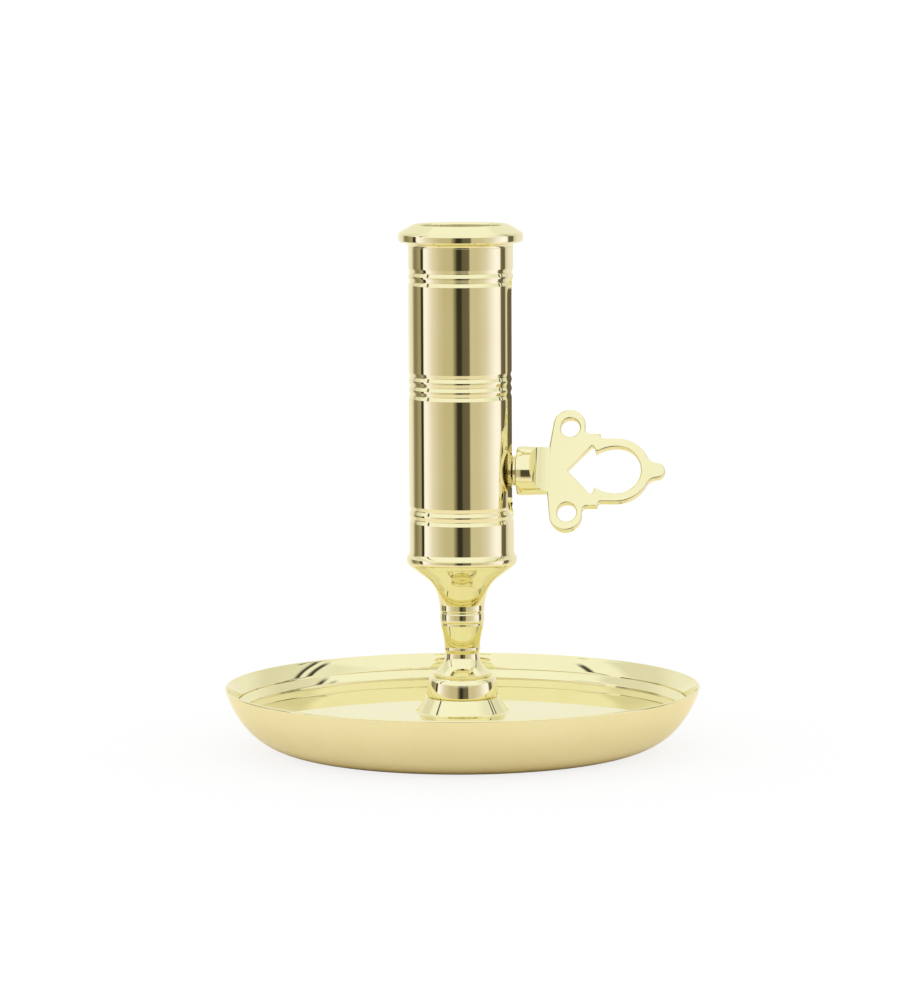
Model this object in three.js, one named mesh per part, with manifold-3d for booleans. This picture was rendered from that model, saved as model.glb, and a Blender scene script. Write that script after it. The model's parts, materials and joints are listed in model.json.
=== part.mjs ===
// Brass chamber candlestick: a round drip pan, a turned stem, and a slotted tube in which
// a pusher raises the candle. A flat cast handle on a screwed stud carries the pusher.
// Millimetres, +Z up, the pan's foot on Z = 0, the handle along +X.
import * as THREE from "three";
import { mergeVertices } from "three/addons/utils/BufferGeometryUtils.js";
import Module from "manifold-3d";

// Fits
const FIT_GAP = 0.3; // gap of the fixed and sliding fits
const SLOT_PLAY = 0.6; // play of the bush on each side of the slot
const OVERCUT = 1; // how far a cutter runs past the surface it opens

// Drip pan
const PAN_R = 60; // outer radius at the lip
const PAN_H = 16; // height of the lip
const LIP_R = 0.4; // half the lip's thickness
const FOOT_R = 42; // outer radius of the foot the pan stands on
const FOOT_W = 2; // width of the foot's flat
const WALL_FOOT_PULL = 7.6; // handles of the outer wall's curve
const WALL_FOOT_LIFT = 0.74;
const WALL_LIP_PULL = 3.5;
const WALL_LIP_DROP = 10.7;
const STEP_H = 0.35; // height of the two upright steps inside the wall
const UPPER_STEP_IN = 3.05; // place of each step, in from the lip and below it
const UPPER_STEP_DROP = 3.7;
const LOWER_STEP_IN = 4.8;
const LOWER_STEP_DROP = 5.9;
const FLOOR_T = 2.4; // thickness of the floor at its edge and of the mound's seat
const FLOOR_DIP = 0.4; // fall of the floor towards its mound
const MOUND_H = 3.45; // mound under the stem, above the floor's edge
const MOUND_R = 12.6;
const FLANK_RUN = 2; // straight flank of the mound, out from its seat
const FLANK_LIFT = 0.4;
const FLANK_PULL = 0.23;
const SEAT_MARGIN = 0.3; // flat seat past the stem's foot
const MOUND_HOLLOW_RUN = 3.2; // slope of the hollow inside the mound
const RECESS_DRAFT = 1.5; // taper of the hollow under the floor

// Stem, from its foot upwards
const SPIGOT_WALL = 1.2; // spigot through the pan's floor
const SPIGOT_SHORT = 0.2; // how far it stops short of the floor's underside
const FOOT_RING_R = 9.05;
const FOOT_RING_H = 0.4;
const FOOT_RING_UNDERCUT = 0.45; // slope under the bun
const BUN_H = 4.8;
const BUN_TOP_R = 7.7;
const BUN_FOOT_PULL = 0.05; // handles of the bun's curve
const BUN_FOOT_LIFT = 1.6;
const BUN_SHOULDER = 0.9;
const BUN_SHOULDER_DROP = 0.8;
const BUN_GROOVE_D = 0.4;
const BUN_GROOVE_H = 0.4;
const NECK_FOOT_R = 7.5;
const NECK_FOOT_H = 0.45;
const NECK_R = 4.3;
const NECK_H = 5.95;
const NECK_FOOT_PULL = 2; // handles of the neck's hollow
const NECK_FOOT_LIFT = 1.25;
const NECK_TOP_PULL = 0.25;
const NECK_TOP_DROP = 2.6;
const COLLAR_R = 4.62;
const COLLAR_H = 0.7;
const TAPER_FOOT_R = 4.42;
const TAPER_H = 5.7;
const TAPER_PULL = 0.18; // handle of the taper's hollow
const TAPER_LIFT = 3;
const SHOULDER_R = 5.5;
const RING_GROOVE_D = 0.3; // grooves under the ring and under the flare
const RING_GROOVE_H = 0.4;
const RING_SWELL = 0.1; // swell of the ring past its edges
const RING_R = 5.62;
const RING_H = 2.65;
const FLARE_FOOT_R = 5.68;
const FLARE_BAND_H = 1.6; // straight foot of the flare
const FLARE_H = 9.85;
const FLARE_SHY = 0.2; // how far the flare's edge stays inside the tube
const FLARE_FOOT_PULL = 0.95; // handles of the flare's hollow
const FLARE_FOOT_LIFT = 6.55;
const FLARE_TOP_PULL = 4.1;
const FLARE_TOP_DROP = 3.7;
const PLUG_H = 4; // plug of the stem inside the tube

// Candle tube
const BORE_R = 11.3; // takes a standard 22 mm candle
const TUBE_WALL = 1.9;
const TUBE_L = 80.5;
const TUBE_FOOT_SHY = 0.1;
const BEAD_OUT = 0.75; // bead round the tube's foot, and the hollow above it
const BEAD_H = 2;
const BEAD_ROUND = 0.6;
const BEAD_EDGE_H = 0.3;
const HOLLOW_H = 1.6;
const HOLLOW_OUT = 0.1;
const HOLLOW_LIFT = 0.3;
const GROOVE_H = 1.95; // one V groove of a band
const GROOVE_D = 0.3;
const GROOVE_LAND = 0.37; // flat between two grooves
const PAIR = 2; // grooves in the end bands and in the middle band
const TRIPLE = 3;
const LOWER_BAND_RISE = 11.1; // lower band above the tube's foot
const MIDDLE_BAND_DROP = 31.5; // other bands below the tube's top
const UPPER_BAND_DROP = 5.35;
const SLOT_RISE = 13; // ends of the slot, from the tube's foot and top
const SLOT_DROP = 7.7;

// Nozzle rim
const RIM_SPIGOT_H = 3.6;
const RIM_SPIGOT_T = 0.7;
const RIM_OVERHANG = 2.5; // flange past the tube
const RIM_COVE_H = 1.1;
const RIM_BEVEL = 0.5; // bevel under the band
const RIM_BEVEL_H = 0.45;
const RIM_BAND_H = 1.1;
const RIM_EDGE = 0.55; // rounding above the band
const RIM_EDGE_H = 1.1;
const RIM_CREST_W = 0.7; // edge of the mouth
const RIM_SLOPE_H = 1.85;
const RIM_MOUTH_BREAK = 0.5;

// Pusher, stud, bush and washer
const PUSHER_LIFT = 6.6; // height of the stud at rest above the slot's lower round end
const PUSHER_BELOW = 10.6; // pusher below and above the stud's axis
const PUSHER_ABOVE = 9.4;
const PUSHER_CHAMFER = 0.8;
const CUP_LAND = 1; // rim round the shallow cup under the candle
const CUP_D = 2;
const STUD_R = 2;
const STUD_DEPTH = 8.7; // stud inside the pusher
const STUD_GRIP = 3.35; // stud inside the handle
const STUD_ROOM = 0.7; // free depth past the stud's end in the handle
const STUD_CHAMFER = 0.4;
const SPOT_FACE_D = 0.8; // flat on the pusher that the bush stands on
const BUSH_R = 3.9;
const BUSH_SHY = 0.3; // how far the bush stays inside the tube's face
const WASHER_PLAY = 0.4; // free travel between bush and washer
const WASHER_R = 3.85;
const WASHER_T = 0.65;

// Handle
const LEAN_DEG = 26; // turn of the plate about the stud at rest
const BOSS_R = 6.2;
const BOSS_L = 3.35; // straight part of the boss
const PLATE_T = 2.4;
const COVE_DIP = 0.4; // boss hollowed below the plate's faces
const PLATE_LAP = 1; // plate's inner edge inside the boss's hollow
const PLATE_EDGE = 6.5; // half length of the plate's straight inner edge
const LOBE_IN = 4.6; // lobes from the inner edge and from the axis
const LOBE_OUT = 12.1;
const LOBE_R = 3.95;
const LOBE_FRONT_DEG = -8; // where a lobe runs into the shoulder
const LOBE_HOLE_IN = 5; // lobe holes from the inner edge and from the axis
const LOBE_HOLE_OUT = 11.3;
const LOBE_HOLE_R = 2.5;
const SHOULDER_IN = 10.1; // straight shoulder between lobe and ring
const SHOULDER_PULL = 1.5;
const SHOULDER_OUT = 9.8;
const RING_IN = 17.2; // ring's centre from the inner edge
const LOOP_R = 6.1; // round part of the opening
const RING_BAND = 2.45;
const STEP_BACK = 4.4; // step from shoulder to ring, back from the ring's centre
const STEP_L = 0.9;
const KNOB_REACH = 1.55; // knob's centre past the ring's edge
const KNOB_R = 2.1;
const KNOB_BLEND_DEG = 24; // where the ring runs into the knob
const KNOB_BLEND_BACK = 1.4;
const KNOB_BLEND_OUT = 0.2;
const CUSP_BACK = 5.4; // cusp, notch and point of the opening, back from the ring's centre
const CUSP_OUT = 4.4;
const CUSP_PULL = 3.2;
const NOTCH_BACK = 6.5;
const NOTCH_OUT = 6.3;
const NOTCH_PULL = 0.9;
const LOOP_POINT_BACK = 12.4;

// Fixing under the pan
const SCREW_R = 2.5;
const SCREW_GRIP = 8.8; // screw above the pan's seat
const SCREW_ROOM = 1; // free depth past the screw's end
const SCREW_CHAMFER = 0.4;
const HEAD_OVERHANG = 2;
const HEAD_H = 3;
const DRIVE_W = 1.2; // screwdriver slot
const DRIVE_D = 1.4;
const BASE_WASHER_OVERHANG = 2.5;
const BASE_WASHER_T = 1.2;
const WASHER_SEAT_MARGIN = 1.4;

// Smoothness: sides of round parts and steps along their curves
const PAN_SIDES = 60;
const PAN_STEPS = 6;
const STEM_SIDES = 36;
const STEM_STEPS = 5;
const TUBE_SIDES = 40;
const TUBE_STEPS = 3;
const SMALL_SIDES = 28;
const PLATE_STEPS = 5;
const SLOT_STEPS = 7;

// Places that several pieces share
const floorEdgeZ = PAN_H - LOWER_STEP_DROP - STEP_H;
const seatR = FOOT_RING_R + SEAT_MARGIN;
const seatZ = floorEdgeZ + MOUND_H;
const undersideZ = seatZ - FLOOR_T;
const screwHoleR = SCREW_R + FIT_GAP;
const spigotR = screwHoleR + SPIGOT_WALL;
const headR = SCREW_R + HEAD_OVERHANG;
const baseWasherR = headR + BASE_WASHER_OVERHANG;

const bunZ = seatZ + FOOT_RING_H;
const bunTopZ = bunZ + BUN_H;
const neckFootZ = bunTopZ + BUN_GROOVE_H + NECK_FOOT_H;
const neckTopZ = neckFootZ + NECK_H;
const collarTopZ = neckTopZ + COLLAR_H;
const shoulderZ = collarTopZ + TAPER_H;
const ringZ = shoulderZ + RING_GROOVE_H;
const flareBandZ = ringZ + RING_H + RING_GROOVE_H;
const flareZ = flareBandZ + FLARE_BAND_H;
const tubeFootZ = flareZ + FLARE_H;
const tubeTopZ = tubeFootZ + TUBE_L;
const tubeR = BORE_R + TUBE_WALL;

const slotHalf = BUSH_R + SLOT_PLAY;
const slotLowZ = tubeFootZ + SLOT_RISE + slotHalf;
const slotHighZ = tubeTopZ - SLOT_DROP - slotHalf;
const studZ = slotLowZ + PUSHER_LIFT;
const pusherR = BORE_R - FIT_GAP;
const studHoleR = STUD_R + FIT_GAP;
const studStartX = pusherR - STUD_DEPTH;
const spotFaceX = pusherR - SPOT_FACE_D;
const bushEndX = tubeR - BUSH_SHY;
const washerX = bushEndX + WASHER_PLAY;
const bossX = washerX + WASHER_T + FIT_GAP;
const studEndX = bossX + STUD_GRIP;

const wasm = await Module();
wasm.setup();

const polishedBrass = () =>
  new THREE.MeshStandardMaterial({ color: 0xd9c98a, roughness: 0.08, metalness: 1 });
const turnedBrass = () =>
  new THREE.MeshStandardMaterial({ color: 0xc9b473, roughness: 0.25, metalness: 1 });
const brightSteel = () =>
  new THREE.MeshStandardMaterial({ color: 0xb9bcc0, roughness: 0.3, metalness: 1 });

// A profile of radius and height turned about Z
const turned = (path, sides, steps = 1) =>
  new THREE.LatheGeometry(path.getPoints(steps), sides).rotateX(Math.PI / 2);

// A turned piece laid along +X, and one laid along the stud
const alongX = (geometry) => geometry.rotateY(Math.PI / 2);
const alongStud = (geometry) => alongX(geometry).translate(0, 0, studZ);

const polygon = (points) => {
  const path = new THREE.Path();
  path.moveTo(points[0][0], points[0][1]);
  for (const [r, z] of points.slice(1)) {
    path.lineTo(r, z);
  }
  return path;
};

const ring = (inner, outer, low, high) =>
  polygon([[inner, low], [outer, low], [outer, high], [inner, high], [inner, low]]);

const rod = (radius, low, high) =>
  polygon([[0, low], [radius, low], [radius, high], [0, high]]);

const chamferedRod = (radius, low, high, chamfer) =>
  polygon([
    [0, low],
    [radius - chamfer, low],
    [radius, low + chamfer],
    [radius, high - chamfer],
    [radius - chamfer, high],
    [0, high],
  ]);

// Closed surface to solid and back
const solidOf = (geometry) => {
  const bare = geometry.clone();
  bare.deleteAttribute("normal");
  bare.deleteAttribute("uv");
  const welded = mergeVertices(bare, 1e-4);
  const triangles = [];
  for (let i = 0; i < welded.index.count; i += 3) {
    const [a, b, c] = [0, 1, 2].map((k) => welded.index.getX(i + k));
    if (a !== b && b !== c && c !== a) {
      triangles.push(a, b, c);
    }
  }
  return new wasm.Manifold(
    new wasm.Mesh({
      numProp: 3,
      vertProperties: new Float32Array(welded.attributes.position.array),
      triVerts: new Uint32Array(triangles),
    }),
  );
};

const surfaceOf = (solid) => {
  const mesh = solid.getMesh();
  const geometry = new THREE.BufferGeometry();
  geometry.setAttribute("position", new THREE.BufferAttribute(mesh.vertProperties.slice(), 3));
  geometry.setIndex(new THREE.BufferAttribute(mesh.triVerts.slice(), 1));
  geometry.computeVertexNormals();
  return geometry;
};

// Drip pan: bowl-shaped wall, two steps inside, floor with a mound, hollow underside
const panGeometry = () => {
  const lipZ = PAN_H - LIP_R;
  const lipMiddleR = PAN_R - LIP_R;
  const lipSlant = LIP_R * Math.SQRT1_2;
  const wallR = lipMiddleR - LIP_R;
  const upperR = PAN_R - UPPER_STEP_IN;
  const upperZ = PAN_H - UPPER_STEP_DROP;
  const lowerR = PAN_R - LOWER_STEP_IN;
  const moundFootZ = floorEdgeZ - FLOOR_DIP;
  const flankR = seatR + FLANK_RUN;
  const footInR = FOOT_R - FOOT_W;
  const recessR = footInR - RECESS_DRAFT;
  const washerSeatR = baseWasherR + WASHER_SEAT_MARGIN;
  const path = new THREE.Path();
  path.moveTo(footInR, 0);
  path.lineTo(FOOT_R, 0);
  path.bezierCurveTo(
    FOOT_R + WALL_FOOT_PULL, WALL_FOOT_LIFT, PAN_R - WALL_LIP_PULL, lipZ - WALL_LIP_DROP,
    PAN_R, lipZ,
  );
  path.lineTo(lipMiddleR + lipSlant, lipZ + lipSlant);
  path.lineTo(lipMiddleR, PAN_H);
  path.lineTo(lipMiddleR - lipSlant, lipZ + lipSlant);
  path.lineTo(wallR, lipZ);
  path.lineTo(upperR, upperZ);
  path.lineTo(upperR, upperZ - STEP_H);
  path.lineTo(lowerR, floorEdgeZ + STEP_H);
  path.lineTo(lowerR, floorEdgeZ);
  path.lineTo(MOUND_R, moundFootZ);
  path.quadraticCurveTo(flankR + FLANK_PULL, moundFootZ, flankR, moundFootZ + FLANK_LIFT);
  path.lineTo(seatR, seatZ);
  path.lineTo(spigotR + FIT_GAP, seatZ);
  path.lineTo(spigotR + FIT_GAP, undersideZ);
  path.lineTo(washerSeatR, undersideZ);
  path.lineTo(washerSeatR + MOUND_HOLLOW_RUN, floorEdgeZ - FLOOR_T);
  path.lineTo(recessR, floorEdgeZ - FLOOR_T);
  path.lineTo(footInR, 0);
  return turned(path, PAN_SIDES, PAN_STEPS);
};

// Stem: spigot, bun foot, hollow neck, ring, flare, and the plug inside the tube
const stemGeometry = () => {
  const spigotZ = undersideZ + SPIGOT_SHORT;
  const holeEndZ = seatZ + SCREW_GRIP + SCREW_ROOM;
  const flareR = tubeR - FLARE_SHY;
  const path = new THREE.Path();
  path.moveTo(0, holeEndZ);
  path.lineTo(screwHoleR, holeEndZ);
  path.lineTo(screwHoleR, spigotZ);
  path.lineTo(spigotR, spigotZ);
  path.lineTo(spigotR, seatZ);
  path.lineTo(FOOT_RING_R - FOOT_RING_UNDERCUT, seatZ);
  path.lineTo(FOOT_RING_R, bunZ);
  path.bezierCurveTo(
    FOOT_RING_R - BUN_FOOT_PULL, bunZ + BUN_FOOT_LIFT,
    BUN_TOP_R + BUN_SHOULDER, bunTopZ - BUN_SHOULDER_DROP,
    BUN_TOP_R, bunTopZ,
  );
  path.lineTo(BUN_TOP_R - BUN_GROOVE_D, bunTopZ + BUN_GROOVE_H / 2);
  path.lineTo(NECK_FOOT_R, bunTopZ + BUN_GROOVE_H);
  path.lineTo(NECK_FOOT_R, neckFootZ);
  path.bezierCurveTo(
    NECK_FOOT_R - NECK_FOOT_PULL, neckFootZ + NECK_FOOT_LIFT,
    NECK_R - NECK_TOP_PULL, neckTopZ - NECK_TOP_DROP,
    NECK_R, neckTopZ,
  );
  path.lineTo(COLLAR_R, neckTopZ);
  path.lineTo(COLLAR_R, collarTopZ);
  path.lineTo(TAPER_FOOT_R, collarTopZ);
  path.quadraticCurveTo(
    TAPER_FOOT_R + TAPER_PULL, collarTopZ + TAPER_LIFT, SHOULDER_R, shoulderZ,
  );
  path.lineTo(RING_R - RING_GROOVE_D, shoulderZ);
  path.lineTo(RING_R - RING_GROOVE_D, ringZ);
  path.lineTo(RING_R - RING_SWELL, ringZ);
  path.lineTo(RING_R, ringZ + RING_H / 2);
  path.lineTo(RING_R - RING_SWELL, ringZ + RING_H);
  path.lineTo(FLARE_FOOT_R - RING_GROOVE_D, ringZ + RING_H);
  path.lineTo(FLARE_FOOT_R - RING_GROOVE_D, flareBandZ);
  path.lineTo(FLARE_FOOT_R, flareBandZ);
  path.lineTo(FLARE_FOOT_R, flareZ);
  path.bezierCurveTo(
    FLARE_FOOT_R + FLARE_FOOT_PULL, flareZ + FLARE_FOOT_LIFT,
    flareR - FLARE_TOP_PULL, tubeFootZ - FLARE_TOP_DROP,
    flareR, tubeFootZ,
  );
  path.lineTo(pusherR, tubeFootZ);
  path.lineTo(pusherR, tubeFootZ + PLUG_H);
  path.lineTo(0, tubeFootZ + PLUG_H);
  return turned(path, STEM_SIDES, STEM_STEPS);
};

// Candle tube: bead at the foot, grooved bands, counterbore for the rim, slot for the bush
const bandHeight = (grooves) => grooves * GROOVE_H + (grooves - 1) * GROOVE_LAND;

const addBand = (path, low, grooves) => {
  for (let i = 0; i < grooves; i += 1) {
    const z = low + i * (GROOVE_H + GROOVE_LAND);
    path.lineTo(tubeR, z);
    path.lineTo(tubeR - GROOVE_D, z + GROOVE_H / 2);
    path.lineTo(tubeR, z + GROOVE_H);
  }
};

const slotCutter = () => {
  const outline = new THREE.Shape();
  outline.moveTo(slotHalf, slotLowZ);
  outline.lineTo(slotHalf, slotHighZ);
  outline.absarc(0, slotHighZ, slotHalf, 0, Math.PI, false);
  outline.lineTo(-slotHalf, slotLowZ);
  outline.absarc(0, slotLowZ, slotHalf, Math.PI, 2 * Math.PI, false);
  const cutter = new THREE.ExtrudeGeometry(outline, {
    depth: tubeR + OVERCUT, curveSegments: SLOT_STEPS, bevelEnabled: false,
  });
  const sideways = new THREE.Matrix4().makeBasis(
    new THREE.Vector3(0, 1, 0), new THREE.Vector3(0, 0, 1), new THREE.Vector3(1, 0, 0),
  );
  return cutter.applyMatrix4(sideways);
};

const tubeGeometry = () => {
  const counterboreR = BORE_R + RIM_SPIGOT_T + FIT_GAP;
  const counterboreZ = tubeTopZ - RIM_SPIGOT_H - FIT_GAP;
  const beadR = tubeR + BEAD_OUT;
  const beadZ = tubeFootZ + BEAD_H;
  const edgeZ = beadZ + BEAD_EDGE_H;
  const path = new THREE.Path();
  path.moveTo(BORE_R, tubeFootZ);
  path.lineTo(tubeR - TUBE_FOOT_SHY, tubeFootZ);
  path.quadraticCurveTo(beadR, tubeFootZ + BEAD_ROUND, beadR, beadZ);
  path.lineTo(beadR, edgeZ);
  path.quadraticCurveTo(tubeR + HOLLOW_OUT, edgeZ + HOLLOW_LIFT, tubeR, edgeZ + HOLLOW_H);
  addBand(path, tubeFootZ + LOWER_BAND_RISE, PAIR);
  addBand(path, tubeTopZ - MIDDLE_BAND_DROP - bandHeight(TRIPLE), TRIPLE);
  addBand(path, tubeTopZ - UPPER_BAND_DROP - bandHeight(PAIR), PAIR);
  path.lineTo(tubeR, tubeTopZ);
  path.lineTo(counterboreR, tubeTopZ);
  path.lineTo(counterboreR, counterboreZ);
  path.lineTo(BORE_R, counterboreZ);
  path.lineTo(BORE_R, tubeFootZ);
  const tube = solidOf(turned(path, TUBE_SIDES, TUBE_STEPS));
  return surfaceOf(tube.subtract(solidOf(slotCutter())));
};

// Nozzle rim: spigot in the tube, cove, flat band and sloping top
const rimGeometry = () => {
  const spigotLowZ = tubeTopZ - RIM_SPIGOT_H;
  const spigotOutR = BORE_R + RIM_SPIGOT_T;
  const rimR = tubeR + RIM_OVERHANG;
  const coveZ = tubeTopZ + RIM_COVE_H;
  const bandLowZ = coveZ + RIM_BEVEL_H;
  const bandTopZ = bandLowZ + RIM_BAND_H;
  const edgeZ = bandTopZ + RIM_EDGE_H;
  const crestZ = edgeZ + RIM_SLOPE_H;
  const path = new THREE.Path();
  path.moveTo(BORE_R, spigotLowZ);
  path.lineTo(spigotOutR, spigotLowZ);
  path.lineTo(spigotOutR, tubeTopZ);
  path.lineTo(tubeR, tubeTopZ);
  path.quadraticCurveTo(tubeR, coveZ, rimR - RIM_BEVEL, coveZ);
  path.lineTo(rimR, bandLowZ);
  path.lineTo(rimR, bandTopZ);
  path.quadraticCurveTo(rimR, edgeZ - RIM_EDGE / 2, rimR - RIM_EDGE, edgeZ);
  path.lineTo(BORE_R + RIM_CREST_W, crestZ);
  path.lineTo(BORE_R, crestZ - RIM_MOUTH_BREAK);
  path.lineTo(BORE_R, spigotLowZ);
  return turned(path, TUBE_SIDES, TUBE_STEPS);
};

// Pusher: cupped plug in the bore, with a flat and a tapped hole on the slot side
const pusherGeometry = () => {
  const low = studZ - PUSHER_BELOW;
  const high = studZ + PUSHER_ABOVE;
  const landR = pusherR - PUSHER_CHAMFER;
  const cupR = landR - CUP_LAND;
  const body = polygon([
    [0, low],
    [landR, low],
    [pusherR, low + PUSHER_CHAMFER],
    [pusherR, high - PUSHER_CHAMFER],
    [landR, high],
    [cupR, high],
    [cupR - PUSHER_CHAMFER, high - CUP_D],
    [0, high - CUP_D],
  ]);
  const spotFace = rod(BUSH_R + FIT_GAP, spotFaceX, pusherR + OVERCUT);
  const hole = rod(studHoleR, studStartX - FIT_GAP, pusherR + OVERCUT);
  const plug = solidOf(turned(body, TUBE_SIDES));
  const faced = plug.subtract(solidOf(alongStud(turned(spotFace, SMALL_SIDES))));
  return surfaceOf(faced.subtract(solidOf(alongStud(turned(hole, SMALL_SIDES)))));
};

// Handle: boss on the stud, hollowed down to a flat plate with two lobes, a ring and a knob
const webHalf = PLATE_T / 2 - COVE_DIP;
const coveR = BOSS_R - webHalf;
const coveStartX = bossX + BOSS_L;
const coveEndX = coveStartX + coveR;
const plateX = coveEndX - PLATE_LAP;
const ringX = plateX + RING_IN;

const mirrored = (half) => {
  const below = half.map((p) => new THREE.Vector2(p.x, -p.y)).reverse();
  const all = [...half, ...below];
  return all.filter((p, i) => i === 0 || p.distanceTo(all[i - 1]) > 1e-6);
};

const plateOutline = () => {
  const turn = THREE.MathUtils.degToRad;
  const ringR = LOOP_R + RING_BAND;
  const knobX = ringX + ringR + KNOB_REACH;
  const lobeX = plateX + LOBE_IN;
  const holeX = plateX + LOBE_HOLE_IN;
  const frontX = lobeX + LOBE_R * Math.cos(turn(LOBE_FRONT_DEG));
  const frontY = LOBE_OUT + LOBE_R * Math.sin(turn(LOBE_FRONT_DEG));
  const edgeGap = Math.hypot(LOBE_IN, LOBE_OUT - PLATE_EDGE);
  const edgeTurn = Math.PI + Math.atan2(LOBE_OUT - PLATE_EDGE, LOBE_IN);
  const stepX = ringX - STEP_BACK;
  const outer = new THREE.Path();
  outer.absarc(knobX, 0, KNOB_R, 0, Math.PI / 2, false);
  outer.quadraticCurveTo(
    knobX - KNOB_BLEND_BACK, KNOB_R + KNOB_BLEND_OUT,
    ringX + ringR * Math.cos(turn(KNOB_BLEND_DEG)), ringR * Math.sin(turn(KNOB_BLEND_DEG)),
  );
  outer.absarc(ringX, 0, ringR, turn(KNOB_BLEND_DEG), Math.PI / 2, false);
  outer.lineTo(stepX + STEP_L, ringR);
  outer.quadraticCurveTo(stepX, ringR, stepX, SHOULDER_OUT);
  outer.lineTo(plateX + SHOULDER_IN, SHOULDER_OUT);
  outer.quadraticCurveTo(plateX + SHOULDER_IN - SHOULDER_PULL, SHOULDER_OUT, frontX, frontY);
  outer.absarc(
    lobeX, LOBE_OUT, LOBE_R, turn(LOBE_FRONT_DEG), edgeTurn - Math.acos(LOBE_R / edgeGap), false,
  );
  outer.lineTo(plateX, PLATE_EDGE);
  const loop = new THREE.Path();
  loop.absarc(ringX, 0, LOOP_R, 0, Math.PI / 2, false);
  loop.quadraticCurveTo(ringX - CUSP_PULL, LOOP_R, ringX - CUSP_BACK, CUSP_OUT);
  loop.quadraticCurveTo(
    ringX - NOTCH_BACK + NOTCH_PULL, NOTCH_OUT, ringX - NOTCH_BACK, NOTCH_OUT,
  );
  loop.lineTo(ringX - LOOP_POINT_BACK, 0);
  const shape = new THREE.Shape(mirrored(outer.getPoints(PLATE_STEPS)));
  shape.holes.push(new THREE.Path(mirrored(loop.getPoints(PLATE_STEPS))));
  for (const side of [1, -1]) {
    const hole = new THREE.Path();
    hole.absarc(holeX, side * LOBE_HOLE_OUT, LOBE_HOLE_R, 0, 2 * Math.PI, false);
    shape.holes.push(hole);
  }
  return shape;
};

const bossPlan = () => {
  const plan = new THREE.Shape();
  plan.moveTo(bossX, -BOSS_R);
  plan.lineTo(coveStartX, -BOSS_R);
  plan.absarc(coveEndX, -BOSS_R, coveR, Math.PI, Math.PI / 2, true);
  plan.lineTo(coveEndX, webHalf);
  plan.absarc(coveEndX, BOSS_R, coveR, 1.5 * Math.PI, Math.PI, true);
  plan.lineTo(bossX, BOSS_R);
  return plan;
};

const handleGeometry = () => {
  const plate = new THREE.ExtrudeGeometry(plateOutline(), {
    depth: PLATE_T, curveSegments: SLOT_STEPS, bevelEnabled: false,
  });
  plate.translate(0, 0, -PLATE_T / 2).rotateX(Math.PI / 2);
  const plan = new THREE.ExtrudeGeometry(bossPlan(), {
    depth: 2 * (BOSS_R + OVERCUT), curveSegments: SLOT_STEPS, bevelEnabled: false,
  });
  plan.translate(0, 0, -BOSS_R - OVERCUT);
  const barrel = alongX(turned(rod(BOSS_R, bossX, coveEndX), TUBE_SIDES));
  const hole = alongX(turned(rod(studHoleR, bossX - OVERCUT, studEndX + STUD_ROOM), SMALL_SIDES));
  const boss = solidOf(barrel).intersect(solidOf(plan));
  const drilled = boss.add(solidOf(plate)).subtract(solidOf(hole));
  const leaning = surfaceOf(drilled).rotateX(THREE.MathUtils.degToRad(-LEAN_DEG));
  return leaning.translate(0, 0, studZ);
};

// Screw and washer that hold the stem to the pan
const headTopZ = undersideZ - BASE_WASHER_T;
const headLowZ = headTopZ - HEAD_H;

const baseScrewGeometry = () => {
  const endZ = seatZ + SCREW_GRIP;
  const body = polygon([
    [0, headLowZ],
    [headR - SCREW_CHAMFER, headLowZ],
    [headR, headLowZ + SCREW_CHAMFER],
    [headR, headTopZ],
    [SCREW_R, headTopZ],
    [SCREW_R, endZ - SCREW_CHAMFER],
    [SCREW_R - SCREW_CHAMFER, endZ],
    [0, endZ],
  ]);
  const drive = new THREE.BoxGeometry(2 * (headR + OVERCUT), DRIVE_W, 2 * DRIVE_D);
  drive.translate(0, 0, headLowZ);
  return surfaceOf(solidOf(turned(body, SMALL_SIDES)).subtract(solidOf(drive)));
};

const stud = chamferedRod(STUD_R, studStartX, studEndX, STUD_CHAMFER);
const bush = ring(studHoleR, BUSH_R, spotFaceX, bushEndX);
const washer = ring(studHoleR, WASHER_R, washerX, washerX + WASHER_T);
const baseWasher = ring(screwHoleR, baseWasherR, headTopZ, undersideZ);

const pieces = [
  ["drip_pan", panGeometry(), polishedBrass()],
  ["stem", stemGeometry(), polishedBrass()],
  ["candle_tube", tubeGeometry(), polishedBrass()],
  ["nozzle_rim", rimGeometry(), polishedBrass()],
  ["candle_pusher", pusherGeometry(), turnedBrass()],
  ["handle_stud", alongStud(turned(stud, SMALL_SIDES)), turnedBrass()],
  ["slot_bush", alongStud(turned(bush, SMALL_SIDES)), turnedBrass()],
  ["stud_washer", alongStud(turned(washer, SMALL_SIDES)), turnedBrass()],
  ["handle", handleGeometry(), polishedBrass()],
  ["base_washer", turned(baseWasher, SMALL_SIDES), brightSteel()],
  ["base_screw", baseScrewGeometry(), brightSteel()],
];

const candlestick = new THREE.Group();
candlestick.name = "candlestick";
for (const [name, geometry, material] of pieces) {
  const mesh = new THREE.Mesh(geometry, material);
  mesh.name = name;
  candlestick.add(mesh);
}

export default candlestick;
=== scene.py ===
"""Brass chamber candlestick with a pusher that slides in its tube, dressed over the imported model."""
import json
import math
from collections import namedtuple

import bmesh
import bpy
from mathutils import Matrix, Vector


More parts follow.
